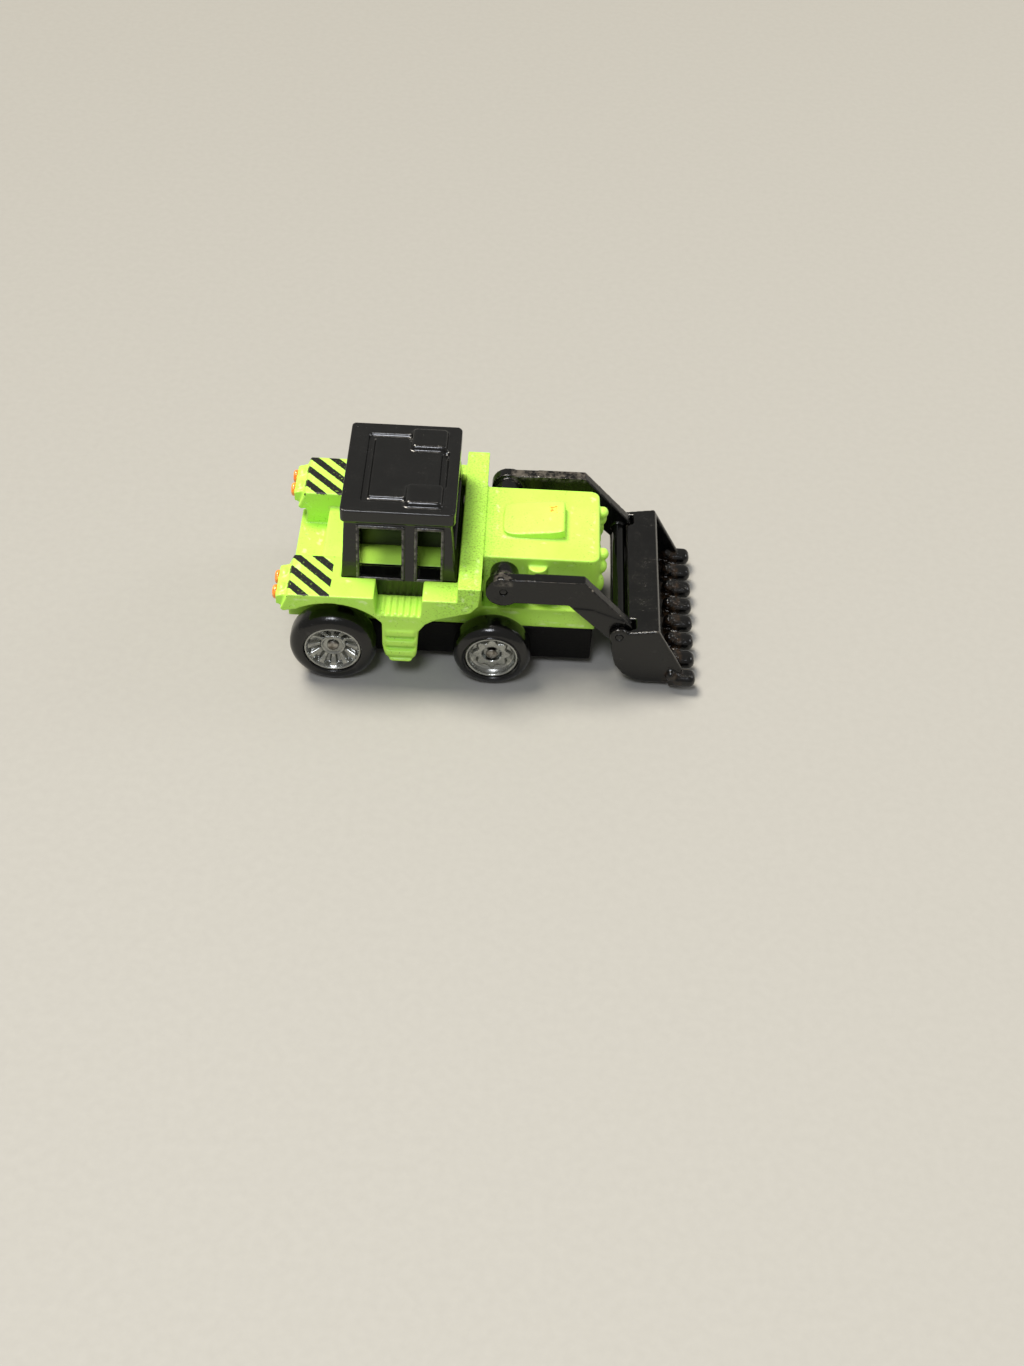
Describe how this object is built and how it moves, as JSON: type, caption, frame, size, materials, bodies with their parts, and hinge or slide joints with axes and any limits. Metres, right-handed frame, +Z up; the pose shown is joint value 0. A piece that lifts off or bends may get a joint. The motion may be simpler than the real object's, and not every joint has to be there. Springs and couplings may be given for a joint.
{
  "type": "toy front loader",
  "caption": "Pocket-size toy front loader: enamelled casting, open cab, wheels that roll freely on wire axles, arms that lift and a toothed bucket that tilts.",
  "frame": {"origin": "on the ground, under the centre of the whole loader's bounding box", "axes": "+X forward towards the bucket, +Y towards the driver's left, +Z up"},
  "size_m": [0.072, 0.037, 0.0338],
  "materials": {
    "green_enamel": "gloss lime green enamel over a zinc casting",
    "chassis_black": "moulded, lightly textured",
    "cab_black": "polished moulding with handling wear",
    "loader_black": "moulded, worn shiny along the edges",
    "tyre_black": "smooth hard tread",
    "hub_silver": "silver hot-stamped foil",
    "bare_steel": "drawn wire"
  },
  "bodies": {
    "chassis": {"body_casting": "green_enamel", "base_plate": "chassis_black", "cab_moulding": "cab_black", "rear_rivet": "bare_steel", "front_rivet": "bare_steel", "rear_axle": "bare_steel", "front_axle": "bare_steel", "arm_pivot_pin": "bare_steel"},
    "arms": {"loader_arm_left": "loader_black", "loader_arm_right": "loader_black", "arm_cross_tube": "loader_black", "bucket_pivot_pin": "bare_steel"},
    "bucket": {"bucket": "loader_black"},
    "wheel_rear_left": {"tyre_rear_left": "tyre_black", "hub_rear_left": "hub_silver"},
    "wheel_rear_right": {"tyre_rear_right": "tyre_black", "hub_rear_right": "hub_silver"},
    "wheel_front_left": {"tyre_front_left": "tyre_black", "hub_front_left": "hub_silver"},
    "wheel_front_right": {"tyre_front_right": "tyre_black", "hub_front_right": "hub_silver"}
  },
  "joints": [
    {"name": "arm_lift", "type": "hinge", "parent": "chassis", "child": "arms", "pos_m": [0.0023, 0, 0.0193], "axis": [0, -1, 0], "range_deg": [0, 45]},
    {"name": "bucket_tilt", "type": "hinge", "parent": "arms", "child": "bucket", "pos_m": [0.0222, 0, 0.0115], "axis": [0, -1, 0], "range_deg": [-15, 35]},
    {"name": "wheel_rear_left_spin", "type": "hinge", "parent": "chassis", "child": "wheel_rear_left", "pos_m": [-0.0262, 0.01565, 0.0074], "axis": [0, 1, 0], "continuous": true},
    {"name": "wheel_rear_right_spin", "type": "hinge", "parent": "chassis", "child": "wheel_rear_right", "pos_m": [-0.0262, -0.01565, 0.0074], "axis": [0, 1, 0], "continuous": true},
    {"name": "wheel_front_left_spin", "type": "hinge", "parent": "chassis", "child": "wheel_front_left", "pos_m": [0.0008, 0.01505, 0.00665], "axis": [0, 1, 0], "continuous": true},
    {"name": "wheel_front_right_spin", "type": "hinge", "parent": "chassis", "child": "wheel_front_right", "pos_m": [0.0008, -0.01505, 0.00665], "axis": [0, 1, 0], "continuous": true}
  ]
}
